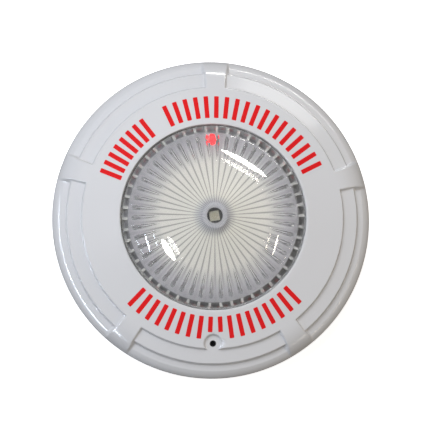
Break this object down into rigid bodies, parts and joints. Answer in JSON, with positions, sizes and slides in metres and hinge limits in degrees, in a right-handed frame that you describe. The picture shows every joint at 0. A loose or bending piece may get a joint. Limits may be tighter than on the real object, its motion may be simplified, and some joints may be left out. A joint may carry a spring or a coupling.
{
  "type": "alarm indicator beacon",
  "caption": "Round ceiling or wall alarm indicator: white stepped cover, clear ribbed light dome, status light, twist-on bayonet base.",
  "frame": {"origin": "centre of the base's flat back, on the wall or ceiling it is fixed to", "axes": "+Z out through the light dome, +Y towards the small status light, +X to the right seen from the front"},
  "size_m": [0.115, 0.115, 0.0375],
  "materials": {
    "white_shell": "white gloss ABS, lightly polished",
    "white_moulding": "white satin ABS, lightly textured",
    "clear_lens": "clear polycarbonate, polished outside, ribbed inside",
    "silicone": "clear silicone drop",
    "white_dish": "white reflector moulding",
    "phosphor": "pale yellow phosphor and ceramic",
    "red_lens": "red epoxy, glowing",
    "red_print": "red printing ink",
    "seal_rubber": "black silicone cord",
    "circuit_board": "green solder mask",
    "white_board": "white solder mask and nylon",
    "brass": "brass strip, lightly brushed",
    "plated_steel": "zinc plated steel",
    "black_steel": "blackened steel",
    "aluminium": "turned aluminium",
    "capacitor_sleeve": "dark shrink sleeve",
    "black_plastic": "black moulded epoxy",
    "red_insulation": "red PVC insulation",
    "black_insulation": "black PVC insulation",
    "switch_blue": "blue moulded switch body"
  },
  "bodies": {
    "base": {"base_plate": "white_moulding", "terminal_contact_1": "brass", "terminal_contact_2": "brass", "terminal_contact_3": "brass", "terminal_contact_4": "brass", "terminal_screw_1": "plated_steel", "terminal_screw_2": "plated_steel", "terminal_screw_3": "plated_steel", "terminal_screw_4": "plated_steel"},
    "head": {"cover": "white_shell", "rear_housing": "white_moulding", "lens": "clear_lens", "led_dome": "silicone", "reflector": "white_dish", "led_emitter": "phosphor", "status_led": "red_lens", "lens_seal": "seal_rubber", "pcb": "circuit_board", "led_board": "white_board", "led_connector": "white_board", "contact_blade_1": "brass", "contact_blade_2": "brass", "contact_blade_3": "brass", "contact_blade_4": "brass", "housing_screw_1": "plated_steel", "housing_screw_2": "plated_steel", "housing_screw_3": "plated_steel", "pcb_screw_1": "plated_steel", "pcb_screw_2": "plated_steel", "pcb_screw_3": "plated_steel", "heat_post": "aluminium", "capacitor_1": "capacitor_sleeve", "capacitor_2": "capacitor_sleeve", "inductor": "black_plastic", "controller_chip": "black_plastic", "led_spacer": "black_plastic", "led_lead_red": "red_insulation", "led_lead_black": "black_insulation", "dip_switch_body": "switch_blue"},
    "locking_screw": {"locking_screw": "black_steel"},
    "dip_slider_1": {"dip_slider_1": "white_board"},
    "dip_slider_2": {"dip_slider_2": "white_board"},
    "dip_slider_3": {"dip_slider_3": "white_board"},
    "dip_slider_4": {"dip_slider_4": "white_board"}
  },
  "joints": [
    {"name": "head_twist", "type": "hinge", "parent": "base", "child": "head", "pos_m": [0, 0, 0.008], "axis": [0, 0, 1], "range_deg": [0, 20]},
    {"name": "locking_screw_turn", "type": "hinge", "parent": "head", "child": "locking_screw", "pos_m": [0, -0.0451, 0.015], "axis": [0, 0, 1], "continuous": true},
    {"name": "dip_slider_1_travel", "type": "slide", "parent": "head", "child": "dip_slider_1", "axis": [0, 1, 0], "range_m": [0, 0.0016]},
    {"name": "dip_slider_2_travel", "type": "slide", "parent": "head", "child": "dip_slider_2", "axis": [0, 1, 0], "range_m": [0, 0.0016]},
    {"name": "dip_slider_3_travel", "type": "slide", "parent": "head", "child": "dip_slider_3", "axis": [0, 1, 0], "range_m": [0, 0.0016]},
    {"name": "dip_slider_4_travel", "type": "slide", "parent": "head", "child": "dip_slider_4", "axis": [0, 1, 0], "range_m": [0, 0.0016]}
  ]
}
